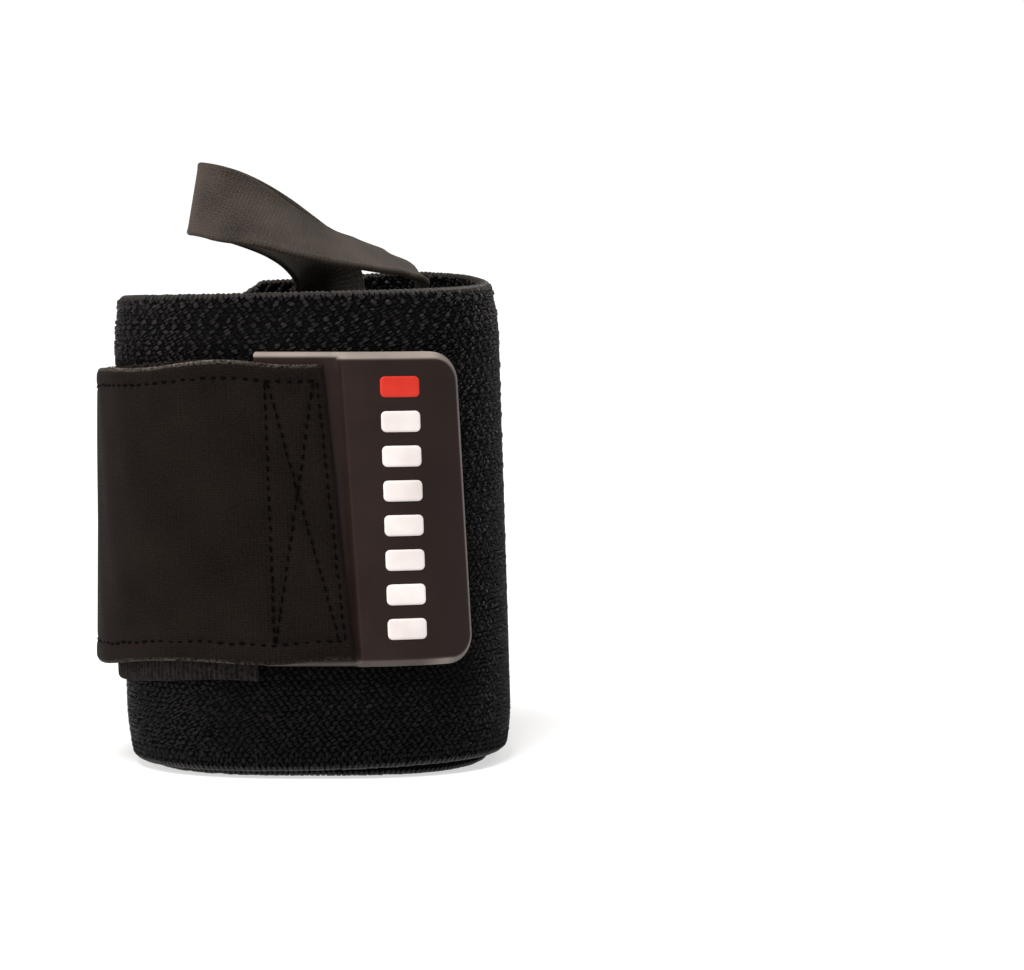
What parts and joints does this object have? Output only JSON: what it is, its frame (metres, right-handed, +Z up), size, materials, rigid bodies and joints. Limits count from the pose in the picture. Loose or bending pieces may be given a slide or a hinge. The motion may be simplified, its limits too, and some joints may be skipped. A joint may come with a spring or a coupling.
{
  "type": "wrist wrap",
  "caption": "Elastic wrist wrap rolled up and standing on edge, held shut by a hook strap with a rubber pull tab, with a thumb loop out of the top.",
  "frame": {"origin": "under the middle of the part, on the surface that the roll stands on", "axes": "+Z up along the roll, +X to the right as seen facing the closure, +Y away from the closure to the back"},
  "size_m": [0.0722, 0.0642, 0.1042],
  "materials": {
    "knitted_elastic": "coarse black elastic knit with slanted yarn knobs",
    "woven_strap": "smooth brushed black-brown strap, stitched in black",
    "hook_tape": "ribbed black hook tape with a fuzzy edge",
    "moulded_rubber": "satin dark brown-black moulded rubber with a bevelled edge",
    "loop_ribbon": "fine woven charcoal ribbon"
  },
  "bodies": {
    "root": {"elastic_wrap": "knitted_elastic", "closure_strap": "woven_strap", "hook_patch": "hook_tape", "pull_tab": "moulded_rubber", "thumb_loop": "loop_ribbon"}
  },
  "joints": []
}
